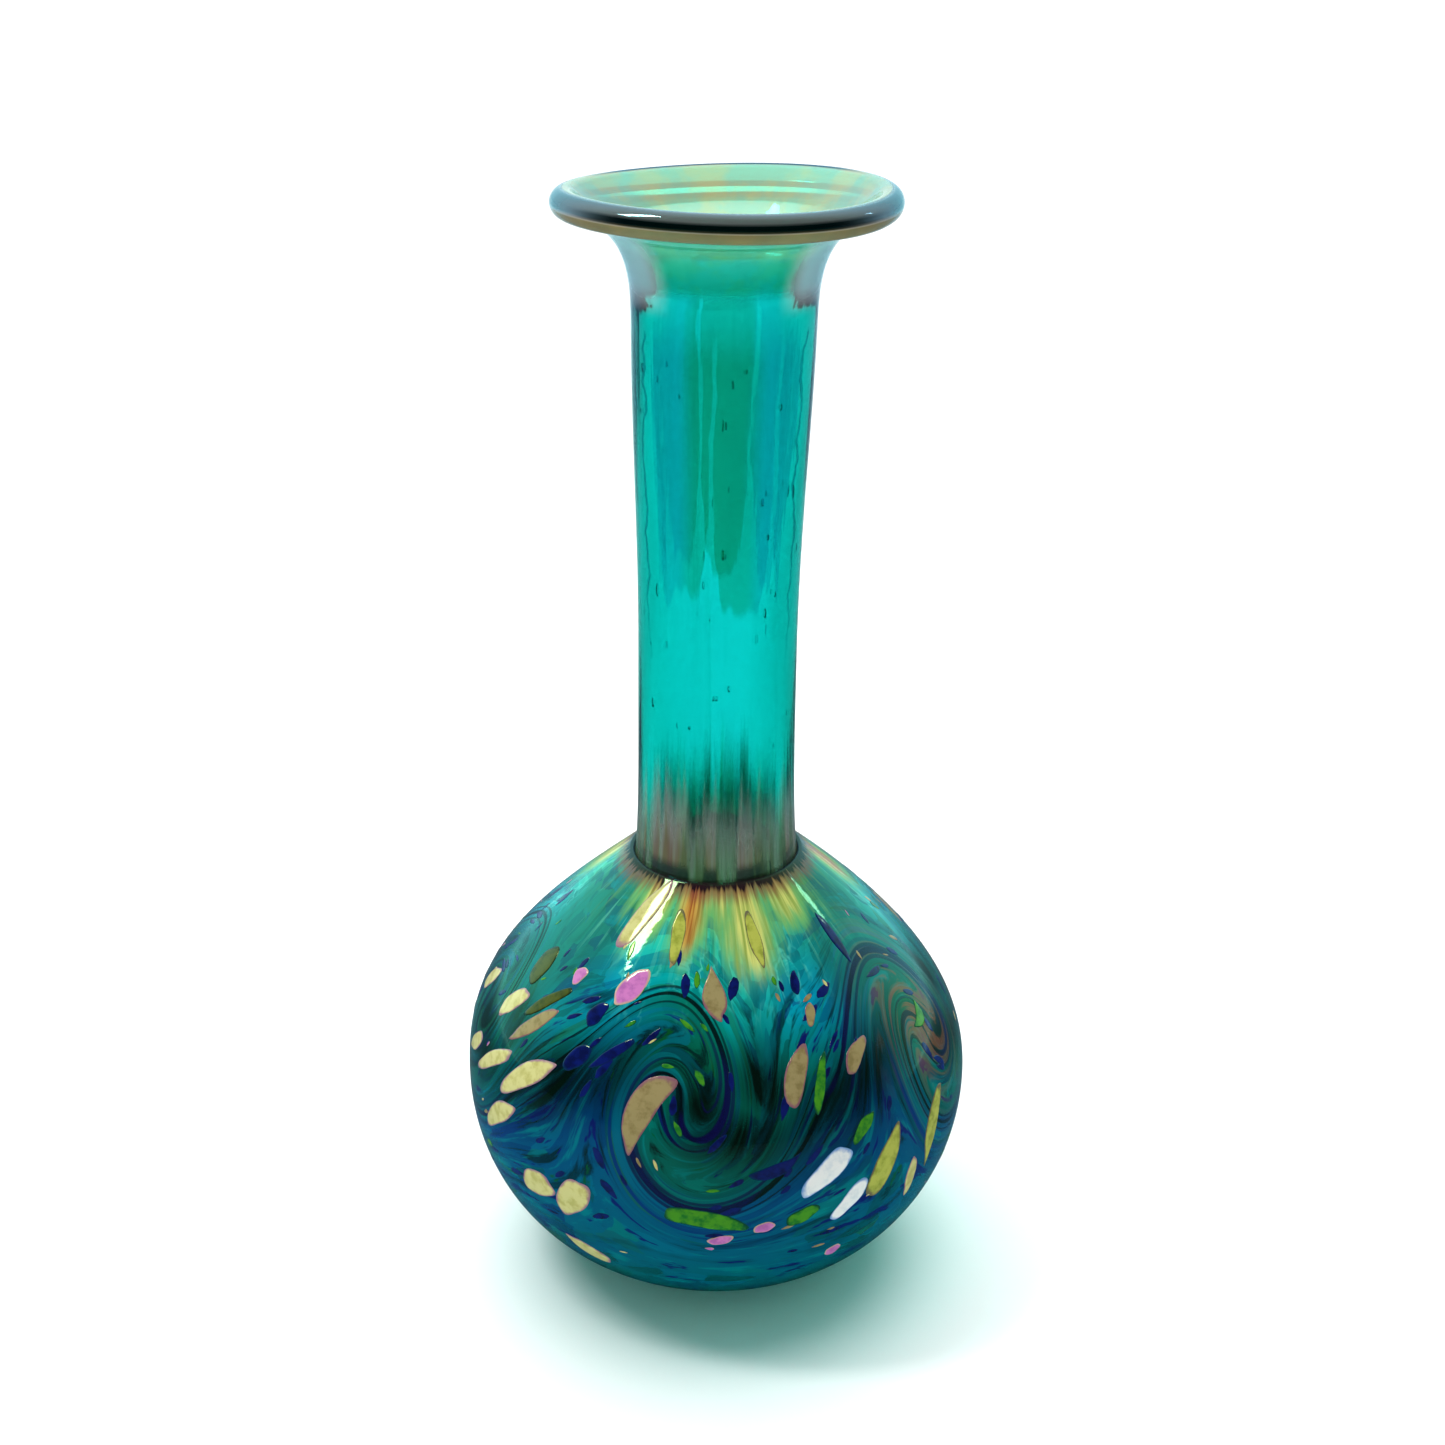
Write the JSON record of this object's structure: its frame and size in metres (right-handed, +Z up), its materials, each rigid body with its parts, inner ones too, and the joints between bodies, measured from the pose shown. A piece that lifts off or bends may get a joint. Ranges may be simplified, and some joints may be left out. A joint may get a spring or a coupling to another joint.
{
  "type": "bottle vase",
  "caption": "Hand-blown glass bottle vase: round bulb with inlaid colour chips and swirls, slender waisted neck and a flared rolled lip.",
  "frame": {"origin": "centre of the flat foot that the vase stands on", "axes": "+Z up along the neck; -Y is the front, with the boldest swirl; +X is to the right of the front"},
  "size_m": [0.0946, 0.0946, 0.203],
  "materials": {
    "teal_glass": "clear transparent teal, gloss",
    "lip_glass": "clear teal, dark where it is thick, gloss with a faint lustre",
    "foot_glass": "clear teal, ground matt on its underside",
    "colour_coat_glass": "streaked teal, green, blue and cobalt glass, gloss with an iridescent lustre",
    "cream_glass": "opaque cream glass, gloss",
    "straw_glass": "opaque yellow-green glass, gloss",
    "white_glass": "opaque white glass, gloss",
    "tan_glass": "opaque tan glass, gloss",
    "olive_glass": "olive glass, gloss",
    "green_glass": "leaf green glass, gloss",
    "pink_glass": "opaque pink glass, gloss",
    "cobalt_glass": "dense cobalt blue glass, gloss"
  },
  "bodies": {
    "root": {"bubble": "teal_glass", "cobalt_chip_1": "cobalt_glass", "cobalt_chip_2": "cobalt_glass", "cobalt_chip_3": "cobalt_glass", "cobalt_chip_4": "cobalt_glass", "cobalt_chip_5": "cobalt_glass", "cobalt_chip_6": "cobalt_glass", "cobalt_chip_7": "cobalt_glass", "colour_coat": "colour_coat_glass", "cream_chip_1": "cream_glass", "cream_chip_10": "cream_glass", "cream_chip_11": "cream_glass", "cream_chip_12": "cream_glass", "cream_chip_13": "cream_glass", "cream_chip_14": "cream_glass", "cream_chip_15": "cream_glass", "cream_chip_2": "cream_glass", "cream_chip_3": "cream_glass", "cream_chip_4": "cream_glass", "cream_chip_5": "cream_glass", "cream_chip_6": "cream_glass", "cream_chip_7": "cream_glass", "cream_chip_8": "cream_glass", "cream_chip_9": "cream_glass", "foot": "foot_glass", "green_chip_1": "green_glass", "green_chip_2": "green_glass", "green_chip_3": "green_glass", "green_chip_4": "green_glass", "green_chip_5": "green_glass", "green_chip_6": "green_glass", "green_chip_7": "green_glass", "lip": "lip_glass", "neck": "teal_glass", "olive_chip_1": "olive_glass", "olive_chip_2": "olive_glass", "olive_chip_3": "olive_glass", "pink_chip_1": "pink_glass", "pink_chip_2": "pink_glass", "pink_chip_3": "pink_glass", "pink_chip_4": "pink_glass", "pink_chip_5": "pink_glass", "pink_chip_6": "pink_glass", "pink_chip_7": "pink_glass", "straw_chip_1": "straw_glass", "straw_chip_2": "straw_glass", "straw_chip_3": "straw_glass", "straw_chip_4": "straw_glass", "straw_chip_5": "straw_glass", "straw_chip_6": "straw_glass", "tan_chip_1": "tan_glass", "tan_chip_2": "tan_glass", "tan_chip_3": "tan_glass", "tan_chip_4": "tan_glass", "tan_chip_5": "tan_glass", "tan_chip_6": "tan_glass", "tan_chip_7": "tan_glass", "white_chip_1": "white_glass", "white_chip_2": "white_glass", "white_chip_3": "white_glass"}
  },
  "joints": []
}
